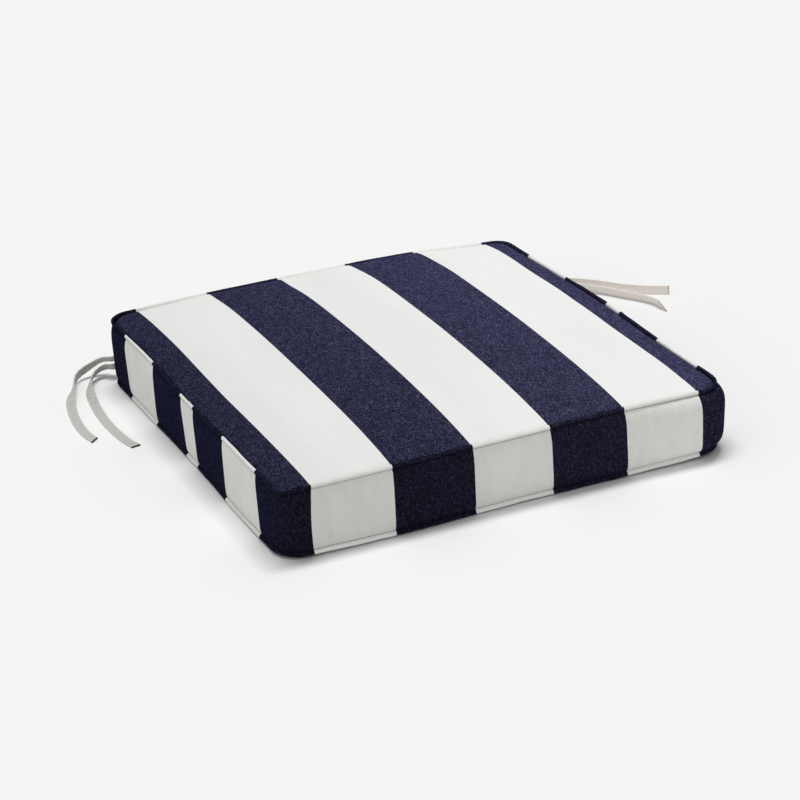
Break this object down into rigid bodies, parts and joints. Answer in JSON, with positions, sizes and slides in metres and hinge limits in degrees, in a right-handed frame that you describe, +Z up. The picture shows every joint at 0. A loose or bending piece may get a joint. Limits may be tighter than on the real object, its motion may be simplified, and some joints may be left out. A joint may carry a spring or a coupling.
{
  "type": "chair cushion",
  "caption": "Square box seat cushion with a crowned top, striped boxing with stitched welts along its edges and flat fabric ties at its back corners.",
  "frame": {"origin": "middle of the flat patch of the underside on which the cushion rests", "axes": "+Z up, front edge of the seat towards -Y, +X to the right as seen from the front"},
  "size_m": [0.7147, 0.5223, 0.0906],
  "materials": {
    "panel_cloth": "woven cloth in wide navy and white stripes, matt",
    "boxing_cloth": "the same striped cloth on the boxing and its welts, matt",
    "tie_tape": "natural woven cotton tape, matt"
  },
  "bodies": {
    "root": {"cushion_body": "panel_cloth", "boxing_front": "boxing_cloth", "boxing_back": "boxing_cloth", "tie_left_outer": "tie_tape", "tie_left_inner": "tie_tape", "tie_right_outer": "tie_tape", "tie_right_inner": "tie_tape"}
  },
  "joints": []
}
